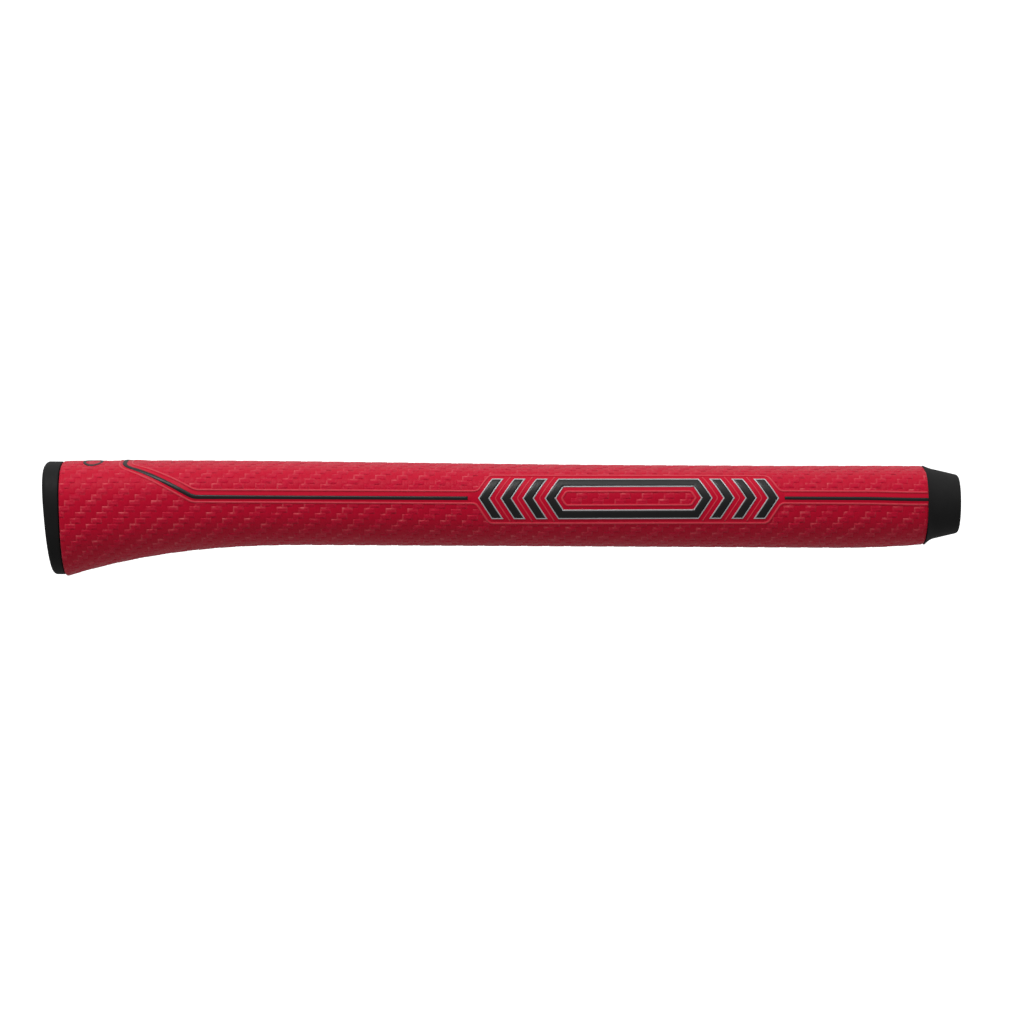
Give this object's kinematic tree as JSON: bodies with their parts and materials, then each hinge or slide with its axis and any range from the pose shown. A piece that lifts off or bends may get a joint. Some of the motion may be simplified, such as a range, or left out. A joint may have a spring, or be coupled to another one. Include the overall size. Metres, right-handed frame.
{
  "type": "putter grip",
  "caption": "Pistol-shaped slip-on grip for a golf putter: soft wrapped body with a flat thumb side, a flared butt, a rubber end cap, a tapered tip collar and a round blind bore.",
  "frame": {"origin": "on the bore axis, where the end of the shaft seats against the butt cap", "axes": "+X along the bore axis from the butt to the tip, where the shaft comes out; +Z out of the flat thumb side (the front); +Y across the grip"},
  "size_m": [0.2668, 0.0268, 0.0341],
  "materials": {
    "red_skin": "matte polyurethane embossed with a twill texture",
    "black_rubber": "matte moulded rubber",
    "black_ink": "satin raised polyurethane print",
    "silver_ink": "satin metallic print",
    "grey_foam": "closed-cell foam",
    "felt": "non-woven felt"
  },
  "bodies": {
    "root": {"underlisting_core": "grey_foam", "felt_backing": "felt", "outer_wrap": "red_skin", "seam_strip": "red_skin", "butt_cap": "black_rubber", "tip_collar": "black_rubber", "stripe_butt": "black_ink", "stripe_tip_left": "black_ink", "stripe_tip_right": "black_ink", "front_ring": "black_ink", "left_emblem_1": "black_ink", "left_emblem_2": "black_ink", "left_emblem_3": "black_ink", "left_emblem_4": "black_ink", "left_emblem_5": "black_ink", "left_emblem_6": "black_ink", "left_emblem_7": "black_ink", "right_emblem_1": "black_ink", "right_emblem_2": "black_ink", "right_emblem_3": "black_ink", "right_emblem_4": "black_ink", "right_emblem_5": "black_ink", "right_emblem_6": "black_ink", "right_emblem_7": "black_ink"}
  },
  "joints": []
}
